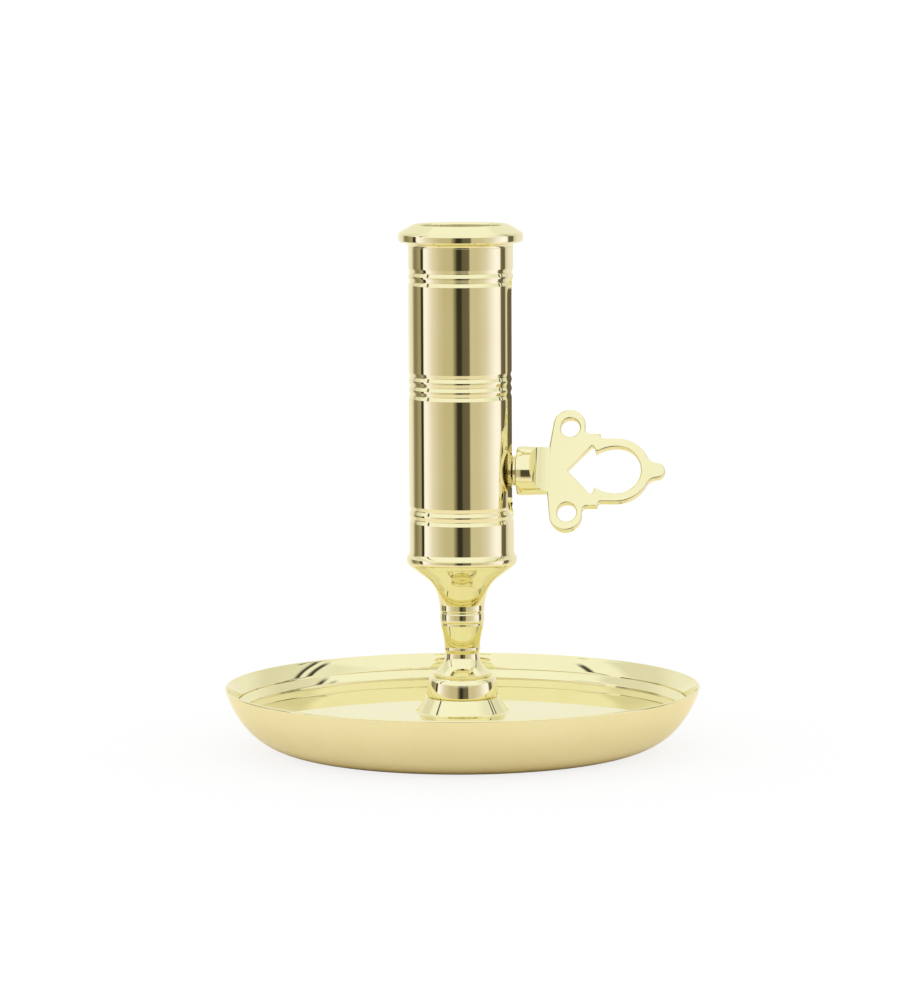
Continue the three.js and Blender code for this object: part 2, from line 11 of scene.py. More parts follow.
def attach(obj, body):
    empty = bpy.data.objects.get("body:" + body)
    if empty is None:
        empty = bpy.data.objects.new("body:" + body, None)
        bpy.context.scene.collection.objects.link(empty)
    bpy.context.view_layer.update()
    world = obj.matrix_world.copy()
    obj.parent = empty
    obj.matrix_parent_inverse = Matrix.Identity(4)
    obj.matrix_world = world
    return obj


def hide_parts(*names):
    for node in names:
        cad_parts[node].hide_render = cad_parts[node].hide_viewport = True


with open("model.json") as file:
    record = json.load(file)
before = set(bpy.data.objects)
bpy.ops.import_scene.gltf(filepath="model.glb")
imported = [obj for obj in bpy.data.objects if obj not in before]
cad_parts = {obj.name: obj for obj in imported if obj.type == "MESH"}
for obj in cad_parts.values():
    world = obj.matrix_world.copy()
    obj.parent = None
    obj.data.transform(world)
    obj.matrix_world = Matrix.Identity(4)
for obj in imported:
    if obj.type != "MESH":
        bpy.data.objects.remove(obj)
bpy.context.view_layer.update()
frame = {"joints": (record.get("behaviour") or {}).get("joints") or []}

MM = 0.001
TINY = 1e-6  # mm, taken as no length at all

# Turned outlines, in mm of radius and height
CURVE_STEPS = 22
ROUND_STEPS = 4
ROUND_SHARE = 0.45  # the most of an edge that one rounding takes
LENGTH_STEPS = 16
SLOPE_STEP = 1e-4
SOFT = 0.08  # the usual rounding of a corner
SMOOTH = 0  # a corner that is not rounded

Corner = namedtuple("Corner", "place soft pulls")
Segment = namedtuple("Segment", "start start_normal end end_normal")


def at(r, z, soft=SOFT, pulls=()):
    """A corner of an outline; pulls shape the curve that arrives there."""
    return Corner((r, z), soft, pulls)


def bezier(points, t):
    """A point of the curve that the given points pull."""
    while len(points) > 1:
        pairs = zip(points, points[1:])
        points = [tuple(a + (b - a) * t for a, b in zip(p, q)) for p, q in pairs]
    return points[0]


def slope(points, t):
    """The direction of a curve."""
    a = bezier(points, max(0.0, t - SLOPE_STEP))
    b = bezier(points, min(1.0, t + SLOPE_STEP))
    size = math.dist(a, b) or 1.0
    return (b[0] - a[0]) / size, (b[1] - a[1]) / size


def length(points):
    """The length of a curve, from straight steps along it."""
    samples = [bezier(points, i / LENGTH_STEPS) for i in range(LENGTH_STEPS + 1)]
    return sum(math.dist(a, b) for a, b in zip(samples, samples[1:]))


def sampled(points, t0, t1, steps):
    """Short segments along one curve, with the normals to its right."""
    found = []
    for i in range(steps + 1):
        t = t0 + (t1 - t0) * i / steps
        dr, dz = slope(points, t)
        found.append((bezier(points, t), (dz, -dr)))
    return [Segment(*a, *b) for a, b in zip(found, found[1:])]


def outline(*corners, closed=True):
    """Segments of a turned outline, drawn counter-clockwise in radius and height."""
    count = len(corners)
    edges = []
    for i in range(count if closed else count - 1):
        end = corners[(i + 1) % count]
        edges.append([corners[i].place, *end.pulls, end.place])
    cuts = []
    for i, edge in enumerate(edges):
        size = length(edge)
        first = corners[i].soft if closed or i > 0 else 0
        last = corners[(i + 1) % count].soft if closed or i + 1 < len(edges) else 0
        cuts.append((min(first / size, ROUND_SHARE), 1 - min(last / size, ROUND_SHARE)))
    segments = []
    for i, edge in enumerate(edges):
        t0, t1 = cuts[i]
        segments += sampled(edge, t0, t1, 1 if len(edge) == 2 else CURVE_STEPS)
        if t1 < 1:
            following = (i + 1) % len(edges)
            rounding = [bezier(edge, t1), edge[-1], bezier(edges[following], cuts[following][0])]
            segments += sampled(rounding, 0, 1, ROUND_STEPS)
    return segments


# Meshes
def add_object(name, data):
    made = bpy.data.objects.new(name, data)
    bpy.context.scene.collection.objects.link(made)
    return made


def mark_faces(mesh, marks):
    """Keeps a number on each face, by which its exact normals are found after cuts."""
    mesh.attributes.new("segment", "INT", "FACE").data.foreach_set("value", marks)


def lathe(name, segments, sides):
    """A turned piece about Z with exact normals; each face's mark is its segment's number, from 1."""
    rings = [s.start for s in segments]
    if math.dist(segments[-1].end, segments[0].start) > TINY:
        rings.append(segments[-1].end)
    turns = [2 * math.pi * j / sides for j in range(sides)]
    verts = []
    index = []
    for r, z in rings:
        if r < TINY:
            index.append([len(verts)] * sides)
            verts.append((0, 0, z * MM))
        else:
            index.append([len(verts) + j for j in range(sides)])
            verts += [(r * MM * math.cos(a), r * MM * math.sin(a), z * MM) for a in turns]
    faces = []
    marks = []
    normals = []
    for k, segment in enumerate(segments):
        low = index[k]
        high = index[(k + 1) % len(index)]
        for j in range(sides):
            i = (j + 1) % sides
            corners = [
                (low[j], segment.start_normal, turns[j]),
                (low[i], segment.start_normal, turns[i]),
                (high[i], segment.end_normal, turns[i]),
                (high[j], segment.end_normal, turns[j]),
            ]
            kept = [c for c, before in zip(corners, corners[-1:] + corners) if c[0] != before[0]]
            if len(kept) < 3:
                continue
            faces.append([vert for vert, _, _ in kept])
            marks.append(k + 1)
            normals += [(nr * math.cos(a), nr * math.sin(a), nz) for _, (nr, nz), a in kept]
    mesh = bpy.data.meshes.new(name)
    mesh.from_pydata(verts, [], faces)
    mesh.shade_smooth()
    mark_faces(mesh, marks)
    mesh.normals_split_custom_set(normals)
    return add_object(name, mesh)


def facing_out(mesh):
    """Turns a mesh's faces outwards."""
    work = bmesh.new()
    work.from_mesh(mesh)
    bmesh.ops.recalc_face_normals(work, faces=work.faces)
    work.to_mesh(mesh)
    work.free()


def skin(name, rings, marks):
    """A closed cutter through rings of points in mm; its two flat ends are its last faces."""
    count = len(rings[0])
    verts = [tuple(v * MM for v in point) for ring in rings for point in ring]
    faces = []
    for low in range(0, len(verts) - count, count):
        for j in range(count):
            i = (j + 1) % count
            faces.append([low + j, low + i, low + count + i, low + count + j])
    faces.append(list(range(count))[::-1])
    faces.append(list(range(len(verts) - count, len(verts))))
    mesh = bpy.data.meshes.new(name)
    mesh.from_pydata(verts, [], faces)
    mark_faces(mesh, marks)
    facing_out(mesh)
    return add_object(name, mesh)


def bake(piece):
    """Applies a piece's modifiers to its mesh."""
    bpy.context.view_layer.update()
    shown = piece.evaluated_get(bpy.context.evaluated_depsgraph_get())
    mesh = bpy.data.meshes.new_from_object(shown)
    piece.modifiers.clear()
    old = piece.data
    piece.data = mesh
    bpy.data.meshes.remove(old)
    mesh.name = piece.name


def cut(piece, tool, operation="DIFFERENCE"):
    """Cuts, joins or trims a piece by another and drops the other."""
    step = piece.modifiers.new(operation, "BOOLEAN")
    step.operation = operation
    step.object = tool
    step.solver = "EXACT"
    bake(piece)
    bpy.data.objects.remove(tool)
    return piece


def turned_normal(segment, r, z):
    """The normal of a turned outline's segment at a point of it."""
    (r0, z0), n0, (r1, z1), n1 = segment
    size = (r1 - r0) ** 2 + (z1 - z0) ** 2
    t = max(0, min(1, ((r - r0) * (r1 - r0) + (z - z0) * (z1 - z0)) / size))
    return [a + (b - a) * t for a, b in zip(n0, n1)]


def exact_normals(mesh, rule):
    """Sets the normals that a rule gives for a face's mark and a point of it; the rest stay."""
    marks = mesh.attributes["segment"].data
    normals = [corner.vector.copy() for corner in mesh.corner_normals]
    for face in mesh.polygons:
        mark = marks[face.index].value
        if mark == 0:
            continue
        for loop in face.loop_indices:
            point = mesh.vertices[mesh.loops[loop].vertex_index].co / MM
            normals[loop] = rule(mark, *point).normalized()
    mesh.normals_split_custom_set(normals)


# Sizes that several pieces share, mm
HINGE = next(joint for joint in frame["joints"] if joint["name"] == "handle_turn")
BOSS_X, _, STUD_Z = (v / MM for v in HINGE["pos_m"])  # the boss's face and the stud's axis
FIT_GAP = 0.3  # between pieces that fit together
OVERCUT = 1.0  # how far a cutter reaches past what it cuts
TUBE_SIDES = 128
BOSS_SIDES = 96
SMALL_SIDES = 72
SEAT_Z = 13.2  # the stem's seat on the pan's mound
UNDERSIDE_Z = 10.8  # the base washer's seat under the mound
HEAD_TOP = 9.6  # the base screw's head under that washer
SPIGOT_R = 4.0
SCREW_R = 2.5
BORE_R = 11.3
TUBE_R = 13.2
TUBE_FOOT = 46.5
TUBE_TOP = 127.0
RIM_SPIGOT_R = 12.0
RIM_SPIGOT_Z = 123.4
STUD_R = 2.0  # places along the stud are taken from the tube's axis
STUD_START = 2.3
STUD_END = 17.6
BUSH_R = 3.9
BUSH_X = 10.2
BUSH_END = 12.9
WASHER_R = 3.85
WASHER_X = 13.3
WASHER_END = 13.95

ALONG_X = Matrix.Rotation(math.pi / 2, 4, "Y")
TO_STUD = Matrix.Translation((0, 0, STUD_Z * MM))


def lay_along_stud(piece):
    """Turns a piece made about Z so that it lies along the stud."""
    piece.data.transform(TO_STUD @ ALONG_X)
    return piece


def rod(name, radius, low, high):
    """A plain round cutter about Z."""
    corners = [(0, low), (radius, low), (radius, high), (0, high)]
    return lathe(name, outline(*(at(r, z, SMOOTH) for r, z in corners), closed=False), SMALL_SIDES)


# Drip pan
PAN_SIDES = 288
PAN_R = 60.0
PAN_H = 16.0
FOOT_IN = 40.0
FOOT_OUT = 42.0
WALL_TOP = 15.6  # the outer wall ends here, under the rounded lip
WALL_PULLS = ((49.6, 0.74), (56.5, 4.9))
LIP_R = 59.6
LIP_PULLS = ((PAN_R, 15.82), (59.82, PAN_H))
LIP_IN = (59.15, 15.5)
LIP_IN_PULLS = ((59.49, PAN_H),)
STEP_H = 0.35  # the two upright steps inside the wall, and the curves of the wall above them
UPPER_STEP = (56.95, 12.3)
UPPER_STEP_PULLS = ((58.27, 14.45), (57.555, 13.4))
LOWER_STEP = (55.4, 10.1)
LOWER_STEP_PULLS = ((56.4, 11.34), (55.86, 10.7))
DISH_Z = 9.35
MOUND_R = 12.6
MOUND_SIDE = (11.35, 9.75)
MOUND_SIDE_PULLS = ((11.58, DISH_Z),)
MOUND_TOP_R = 9.35
HOLLOW_R = 38.5  # the hollow underneath, with a rise in its middle
HOLLOW_Z = 7.35
RISE_R = 11.6
RISE_TOP_R = 8.4


def drip_pan():
    """Dish with a foot ring, a rounded lip, two steps inside its wall and a mound for the stem."""
    corners = [
        at(FOOT_IN, 0, soft=0.15),
        at(FOOT_OUT, 0, soft=0.25),
        at(PAN_R, WALL_TOP, SMOOTH, WALL_PULLS),
        at(LIP_R, PAN_H, SMOOTH, LIP_PULLS),
        at(*LIP_IN, SMOOTH, LIP_IN_PULLS),
    ]
    for (r, z), pulls in ((UPPER_STEP, UPPER_STEP_PULLS), (LOWER_STEP, LOWER_STEP_PULLS)):
        corners.append(at(r, z, soft=0.28, pulls=pulls))
        corners.append(at(r, z - STEP_H, soft=0.06))
    corners += [
        at(MOUND_R, DISH_Z, SMOOTH),
        at(*MOUND_SIDE, SMOOTH, MOUND_SIDE_PULLS),
        at(MOUND_TOP_R, SEAT_Z),
        at(SPIGOT_R + FIT_GAP, SEAT_Z),
        at(SPIGOT_R + FIT_GAP, UNDERSIDE_Z),
        at(RISE_TOP_R, UNDERSIDE_Z, soft=0.3),
        at(RISE_R, HOLLOW_Z, soft=0.8),
        at(HOLLOW_R, HOLLOW_Z, soft=0.8),
    ]
    return lathe("drip_pan_polished", outline(*corners), PAN_SIDES)


# Stem, from its foot to the plug in the tube
STEM_HOLE_Z = 23.0  # end of the base screw's hole
SPIGOT_Z = 11.0
BUN_FOOT_R = 8.6
BUN_LOW = (9.05, 13.6)
BUN_SIDE = (8.62, 17.0)
BUN_SIDE_PULLS = ((8.93, 14.8), (8.816, 15.8))
BUN_TOP = (7.7, 18.4)
BUN_TOP_PULLS = ((8.48, 17.86), (8.2, 18.3))
BUN_CREASE = (7.3, 18.6)
NECK_R = 7.5
NECK_FOOT = 18.8
NECK_EDGE = 19.25
NECK_TOP_R = 4.3
NECK_PULLS = ((5.5, 20.5), (3.95, 21.9))
COLLAR_R = 4.62
COLLAR_LOW = 25.2
COLLAR_HIGH = 25.9
TAPER_LOW_R = 4.42
TAPER_TOP_R = 5.5
TAPER_TOP = 31.6
TAPER_PULLS = ((4.6, 28.9),)
STEM_GROOVE_H = 0.4  # a groove below and above the ring
LOW_GROOVE_R = 5.32
HIGH_GROOVE_R = 5.38
RING_R = 5.52
RING_TOP = 34.65
RING_PULLS = ((5.66, 32.9), (5.66, 33.8))
FLARE_FOOT_R = 5.68
FLARE_LOW = 36.65
FLARE_TOP_R = 13.0
FLARE_PULLS = ((6.63, 43.2), (8.9, 42.8))
PLUG_R = BORE_R - FIT_GAP
PLUG_TOP = 50.5


def stem():
    """Bun, neck, collar, taper, ring and flare, with a spigot below and a plug above."""
    screw_hole_r = SCREW_R + FIT_GAP
    ring_low = TAPER_TOP + STEM_GROOVE_H
    flare_foot = RING_TOP + STEM_GROOVE_H
    corners = [
        at(0, STEM_HOLE_Z, SMOOTH),
        at(screw_hole_r, STEM_HOLE_Z, soft=0.2),
        at(screw_hole_r, SPIGOT_Z),
        at(SPIGOT_R, SPIGOT_Z),
        at(SPIGOT_R, SEAT_Z, soft=0.05),
        at(BUN_FOOT_R, SEAT_Z, soft=0.02),
        at(*BUN_LOW, soft=0.12),
        at(*BUN_SIDE, SMOOTH, BUN_SIDE_PULLS),
        at(*BUN_TOP, soft=0.12, pulls=BUN_TOP_PULLS),
        at(*BUN_CREASE, soft=0.05),
        at(NECK_R, NECK_FOOT, soft=0.1),
        at(NECK_R, NECK_EDGE, soft=0.12),
        at(NECK_TOP_R, COLLAR_LOW, soft=0.05, pulls=NECK_PULLS),
        at(COLLAR_R, COLLAR_LOW, soft=0.12),
        at(COLLAR_R, COLLAR_HIGH, soft=0.12),
        at(TAPER_LOW_R, COLLAR_HIGH, soft=0.05),
        at(TAPER_TOP_R, TAPER_TOP, soft=0.2, pulls=TAPER_PULLS),
        at(LOW_GROOVE_R, TAPER_TOP, soft=0.05),
        at(LOW_GROOVE_R, ring_low, soft=0.05),
        at(RING_R, ring_low, soft=0.35),
        at(RING_R, RING_TOP, soft=0.35, pulls=RING_PULLS),
        at(HIGH_GROOVE_R, RING_TOP, soft=0.05),
        at(HIGH_GROOVE_R, flare_foot, soft=0.05),
        at(FLARE_FOOT_R, flare_foot, soft=0.4),
        at(FLARE_FOOT_R, FLARE_LOW, SMOOTH),
        at(FLARE_TOP_R, TUBE_FOOT, soft=0.1, pulls=FLARE_PULLS),
        at(PLUG_R, TUBE_FOOT),
        at(PLUG_R, PLUG_TOP, soft=0.3),
        at(0, PLUG_TOP, SMOOTH),
    ]
    return lathe("stem_turned", outline(*corners, closed=False), TUBE_SIDES)


# Candle tube, with a bead at its foot and bands of V grooves
TUBE_FOOT_R = 13.1
BEAD_R = 13.95
BEAD_LOW = 48.5
BEAD_LOW_PULLS = ((BEAD_R, 47.1),)
BEAD_HIGH = 48.8
BEAD_END = 50.4
BEAD_END_PULLS = ((13.3, 49.1),)
GROOVE_H = 1.95
GROOVE_D = 0.3
GROOVE_LAND = 0.37
BANDS = ((57.6, 2), (88.91, 3), (117.38, 2))  # foot of each band, and its number of grooves
TUBE_CREASE = math.radians(32)


def band(foot, grooves):
    """Corners of V grooves, one above the other."""
    corners = []
    for i in range(grooves):
        z = foot + i * (GROOVE_H + GROOVE_LAND)
        corners.append(at(TUBE_R, z, soft=0.06))
        corners.append(at(TUBE_R - GROOVE_D, z + GROOVE_H / 2, soft=0.12))
        corners.append(at(TUBE_R, z + GROOVE_H, soft=0.06))
    return corners


TUBE_OUTLINE = outline(
    at(BORE_R, TUBE_FOOT),
    at(TUBE_FOOT_R, TUBE_FOOT),
    at(BEAD_R, BEAD_LOW, SMOOTH, BEAD_LOW_PULLS),
    at(BEAD_R, BEAD_HIGH, soft=0.12),
    at(TUBE_R, BEAD_END, SMOOTH, BEAD_END_PULLS),
    *(corner for foot, grooves in BANDS for corner in band(foot, grooves)),
    at(TUBE_R, TUBE_TOP, soft=0.1),
    at(RIM_SPIGOT_R + FIT_GAP, TUBE_TOP),
    at(RIM_SPIGOT_R + FIT_GAP, RIM_SPIGOT_Z - FIT_GAP),
    at(BORE_R, RIM_SPIGOT_Z - FIT_GAP),
)

# The slot in the tube, flared outwards
SLOT_HALF = 4.5
SLOT_LOW = 64.0
SLOT_HIGH = 114.8
SLOT_STEPS = 20
SLOT_FLARE = math.radians(12)
SLOT_FLARE_START = 10.2  # the slot's cutter, by distances from the tube's axis
CUTTER_START = 6.0
CUTTER_END = 16.0
SLOT_WALL = -1  # mark of the slot's walls


def slot_ring(x, grown):
    """Points round the slot at one distance from the tube's axis, grown by a margin."""
    half = SLOT_HALF + grown
    ring = []
    for centre, start in ((SLOT_HIGH, 0.0), (SLOT_LOW, math.pi)):
        for i in range(SLOT_STEPS + 1):
            a = start + math.pi * i / SLOT_STEPS
            ring.append((x, half * math.cos(a), centre + half * math.sin(a)))
    return ring


def slot_cutter():
    """A cutter that is straight inside the bore and flared from there outwards."""
    flare = (CUTTER_END - SLOT_FLARE_START) * math.tan(SLOT_FLARE)
    straight = [slot_ring(x, 0) for x in (SLOT_FLARE_START, CUTTER_START)]
    rings = [slot_ring(CUTTER_END, flare), *straight]
    walls = (len(rings) - 1) * len(rings[0])
    cutter = skin("slot", rings, [SLOT_WALL] * walls + [0, 0])
    cutter.data.shade_smooth()
    return cutter


def tube_normal(mark, x, y, z):
    """The normal at a point of the tube or of the slot's walls."""
    if mark == SLOT_WALL:
        across = Vector((0, -y, max(SLOT_LOW, min(SLOT_HIGH, z)) - z)).normalized()
        return across * math.cos(SLOT_FLARE) + Vector((math.sin(SLOT_FLARE), 0, 0))
    r = math.hypot(x, y)
    nr, nz = turned_normal(TUBE_OUTLINE[mark - 1], r, z)
    return Vector((nr * x / r, nr * y / r, nz))


def candle_tube():
    """The turned tube, with the slot cut out of it."""
    tube = lathe("candle_tube_turned", TUBE_OUTLINE, TUBE_SIDES)
    cut(tube, slot_cutter())
    tube.data.shade_smooth()
    tube.data.set_sharp_from_angle(angle=TUBE_CREASE)
    exact_normals(tube.data, tube_normal)
    return tube


# Nozzle rim
RIM_R = 15.7
RIM_COVE = (15.2, 128.1)
RIM_COVE_PULLS = ((TUBE_R, 128.1),)
RIM_BAND_LOW = 128.55
RIM_BAND_HIGH = 129.65
RIM_SHOULDER = (15.15, 130.75)
RIM_SHOULDER_PULLS = ((RIM_R, 130.47),)
RIM_TOP = (12.0, 132.6)
MOUTH_Z = 132.1


def nozzle_rim():
    """Flange with a sloping top, and a spigot in the tube's mouth."""
    corners = [
        at(BORE_R, RIM_SPIGOT_Z, soft=0.1),
        at(RIM_SPIGOT_R, RIM_SPIGOT_Z, soft=0.1),
        at(RIM_SPIGOT_R, TUBE_TOP, soft=0.05),
        at(TUBE_R, TUBE_TOP, soft=0.04),
        at(*RIM_COVE, pulls=RIM_COVE_PULLS),
        at(RIM_R, RIM_BAND_LOW, soft=0.1),
        at(RIM_R, RIM_BAND_HIGH, soft=0.1),
        at(*RIM_SHOULDER, soft=0.15, pulls=RIM_SHOULDER_PULLS),
        at(*RIM_TOP, soft=0.3),
        at(BORE_R, MOUTH_Z, soft=0.25),
    ]
    return lathe("nozzle_rim_turned", outline(*corners), TUBE_SIDES)


# Pusher, with a cupped top, a flat for the bush and a hole for the stud
PUSHER_SIDES = 96
PUSHER_R = BORE_R - FIT_GAP
PUSHER_FOOT = 60.0
PUSHER_TOP = 80.0
PUSHER_EDGE = 0.8
CUP_R = 9.2
CUP_FLOOR = (8.4, 78.0)
PUSHER_CUT_END = 12.5  # where the cutters end, outside the pusher


def candle_pusher():
    """Plug in the bore, on which the candle stands."""
    cup_floor_r, cup_floor_z = CUP_FLOOR
    corners = [
        at(0, PUSHER_FOOT, SMOOTH),
        at(PUSHER_R - PUSHER_EDGE, PUSHER_FOOT, soft=0.15),
        at(PUSHER_R, PUSHER_FOOT + PUSHER_EDGE, soft=0.15),
        at(PUSHER_R, PUSHER_TOP - PUSHER_EDGE, soft=0.15),
        at(PUSHER_R - PUSHER_EDGE, PUSHER_TOP, soft=0.15),
        at(CUP_R, PUSHER_TOP, soft=0.15),
        at(cup_floor_r, cup_floor_z, soft=0.3),
        at(0, cup_floor_z, SMOOTH),
    ]
    pusher = lathe("candle_pusher_turned", outline(*corners, closed=False), PUSHER_SIDES)
    cut(pusher, lay_along_stud(rod("face", BUSH_R + FIT_GAP, BUSH_X, PUSHER_CUT_END)))
    cut(pusher, lay_along_stud(rod("hole", STUD_R + FIT_GAP, STUD_START - FIT_GAP, PUSHER_CUT_END)))
    return pusher


# Threaded stud and screw, bush and washers
THREAD_PITCH = 0.7
THREAD_D = 0.3
THREAD_POINT = 0.4  # bevel at the ends of the stud and the screw
BASE_WASHER_R = 7.0
HEAD_R = 4.5
HEAD_LOW = 6.6
HEAD_BEVEL = 0.4
SHANK_END = 10.7
SCREW_THREAD = (11.0, 21.5)
SCREW_END = 22.0
DRIVE_SLOT = (12.0, 1.2, 2.8)  # length, width and height of its cutter


def threaded(radius, low, high):
    """Corners of a thread, drawn as a ring for each turn."""
    corners = []
    turns = int((high - low) / THREAD_PITCH)
    for i in range(turns):
        z = low + i * THREAD_PITCH
        corners.append(at(radius - THREAD_D, z, soft=0.05))
        corners.append(at(radius, z + THREAD_PITCH / 2))
    corners.append(at(radius - THREAD_D, low + turns * THREAD_PITCH, soft=0.05))
    return corners


def handle_stud():
    """Stud that is threaded from the bush outwards."""
    corners = [
        at(0, STUD_START, SMOOTH),
        at(STUD_R - THREAD_POINT, STUD_START, soft=0.05),
        at(STUD_R, STUD_START + THREAD_POINT, soft=0.05),
        at(STUD_R, BUSH_X - FIT_GAP, soft=0.05),
        *threaded(STUD_R, BUSH_X, STUD_END - THREAD_POINT),
        at(STUD_R - THREAD_POINT, STUD_END, soft=0.05),
        at(0, STUD_END, SMOOTH),
    ]
    return lay_along_stud(lathe("handle_stud_threaded", outline(*corners, closed=False), SMALL_SIDES))


def collar(name, inner, outer, low, high):
    """A plain ring about Z."""
    corners = [at(inner, low), at(outer, low, soft=0.15), at(outer, high, soft=0.15), at(inner, high)]
    return lathe(name, outline(*corners), SMALL_SIDES)


def slot_bush():
    return lay_along_stud(collar("slot_bush_turned", STUD_R + FIT_GAP, BUSH_R, BUSH_X, BUSH_END))


def stud_washer():
    inner = STUD_R + FIT_GAP
    return lay_along_stud(collar("stud_washer_turned", inner, WASHER_R, WASHER_X, WASHER_END))


def base_washer():
    return collar("base_washer_turned", SCREW_R + FIT_GAP, BASE_WASHER_R, HEAD_TOP, UNDERSIDE_Z)


def base_screw():
    """Screw with a slotted head, up through the pan into the stem."""
    corners = [
        at(0, HEAD_LOW, SMOOTH),
        at(HEAD_R - HEAD_BEVEL, HEAD_LOW, soft=0.2),
        at(HEAD_R, HEAD_LOW + HEAD_BEVEL, soft=0.15),
        at(HEAD_R, HEAD_TOP, soft=0.1),
        at(SCREW_R, HEAD_TOP, soft=0.05),
        at(SCREW_R, SHANK_END, soft=0.1),
        *threaded(SCREW_R, *SCREW_THREAD),
        at(SCREW_R - THREAD_POINT, SCREW_END, soft=0.1),
        at(0, SCREW_END, SMOOTH),
    ]
    screw = lathe("base_screw_slotted", outline(*corners, closed=False), SMALL_SIDES)
    drive = bpy.data.meshes.new("drive")
    work = bmesh.new()
    bmesh.ops.create_cube(work, size=1.0)
    work.to_mesh(drive)
    work.free()
    drive.transform(Matrix.Diagonal((*(size * MM for size in DRIVE_SLOT), 1)))
    drive.transform(Matrix.Translation((0, 0, HEAD_LOW * MM)))
    return cut(screw, add_object("drive", drive))


# Handle, made along X and then turned about the stud
HANDLE_TURN = math.radians(-26)
HANDLE_CREASE = math.radians(40)
BOSS_R = 6.2
BOSS_FACE = 0.12  # the boss's face and far end are this much smaller than its crown
BOSS_END = 0.28
CROWN_X = 1.4  # the crown, from the face
COVE_R = 8.4  # the boss's hollows, and their centres along the stud and out from the plate
COVE_X = 25.7
COVE_OUT = 8.7
COVE_END = 23.0
COVE_STEPS = 32
STUD_ROOM = 0.7  # the hole's depth beyond the stud
COVE_FRONT = -1  # marks of the boss's two hollows and of the plate's flat faces
COVE_BACK = -2
PLATE_FACE = -3
FLAT = 0.999  # least part of a flat face's normal that lies across the plate

# Outline of the handle's plate
PLATE_T = 2.4
EDGE = 0.55  # rounding of the plate's edges
EDGE_STEPS = 3
PLATE_X = 22.0  # the inner edge, and half its width
PLATE_HALF = 6.5
LOBE = (26.85, 12.1)
LOBE_R = 4.1
LOBE_FRONT = -8  # degrees at which a lobe runs into the shoulder
LOBE_STEPS = 48
LOBE_HOLE = (27.1, 11.3)
LOBE_HOLE_R = 2.4
SHOULDER_Y = 9.8  # straight shoulder between lobe and hoop, and the bends at its ends
SHOULDER_X = 32.3
SHOULDER_BEND = 1.5
SHOULDER_END = 34.8
SHOULDER_DROP = 0.9
HOOP_X = 39.2
HOOP_R = 8.55
HOOP_END = 24  # degrees at which the hoop runs into the knob
KNOB_X = 49.3
KNOB_R = 2.1
KNOB_PULL = (-1.4, 0.2)  # of the bend to the hoop, from the top of the knob
LOOP_R = 6.1  # the opening in the hoop, with two cusps and a point
LOOP_STEPS = 40
LOOP_BEND_X = 36.0
CUSP = (33.8, 4.4)
CUSP_PULL = (33.6, 6.3)
CUSP_END = (32.7, 6.3)
POINT_X = 26.8
ARC_STEPS = 24
BEND_STEPS = 12
SAME_POINT = 1e-4  # mm between points that count as one, and m between vertices that are joined
WELD = 2e-6


def on_circle(cx, cy, radius, degrees):
    a = math.radians(degrees)
    return cx + radius * math.cos(a), cy + radius * math.sin(a)


def arc(cx, cy, radius, start, end, steps=ARC_STEPS):
    return [on_circle(cx, cy, radius, start + (end - start) * i / steps) for i in range(steps + 1)]


def bend(start, pull, end):
    """Points of a curve from start to end."""
    return [bezier([start, pull, end], i / BEND_STEPS) for i in range(BEND_STEPS + 1)]


def both_sides(half):
    """Half an outline and its mirror image, without doubled points."""
    points = half + [(x, -y) for x, y in reversed(half)]
    return [p for p, before in zip(points, points[-1:] + points) if math.dist(p, before) > SAME_POINT]


def plate_outer():
    """The plate's edge: knob, hoop, shoulders, lobes and the straight inner edge."""
    edge = (PLATE_X, PLATE_HALF)
    edge_turn = 180 + math.degrees(math.atan2(LOBE[1] - edge[1], LOBE[0] - edge[0]))
    lobe_end = edge_turn - math.degrees(math.acos(LOBE_R / math.dist(LOBE, edge)))
    lobe = arc(*LOBE, LOBE_R, LOBE_FRONT, lobe_end, LOBE_STEPS)
    knob_pull = (KNOB_X + KNOB_PULL[0], KNOB_R + KNOB_PULL[1])
    drop = (SHOULDER_END + SHOULDER_DROP, HOOP_R)
    shoulder = (SHOULDER_X, SHOULDER_Y)
    half = arc(KNOB_X, 0, KNOB_R, 0, 90)
    half += bend(half[-1], knob_pull, on_circle(HOOP_X, 0, HOOP_R, HOOP_END))
    half += arc(HOOP_X, 0, HOOP_R, HOOP_END, 90)
    half += bend(drop, (SHOULDER_END, HOOP_R), (SHOULDER_END, SHOULDER_Y))
    half += bend(shoulder, (SHOULDER_X - SHOULDER_BEND, SHOULDER_Y), lobe[0])
    half += lobe
    half += [edge]
    return both_sides(half)


def plate_loop():
    """The opening in the hoop."""
    half = arc(HOOP_X, 0, LOOP_R, 0, 90, LOOP_STEPS)
    half += bend(half[-1], (LOOP_BEND_X, LOOP_R), CUSP)
    half += bend(CUSP, CUSP_PULL, CUSP_END)
    half += [(POINT_X, 0.0)]
    return both_sides(half)


def lobe_hole(side):
    x, y = LOBE_HOLE
    return arc(x, side * y, LOBE_HOLE_R, 0, 360, LOBE_STEPS)[:-1]


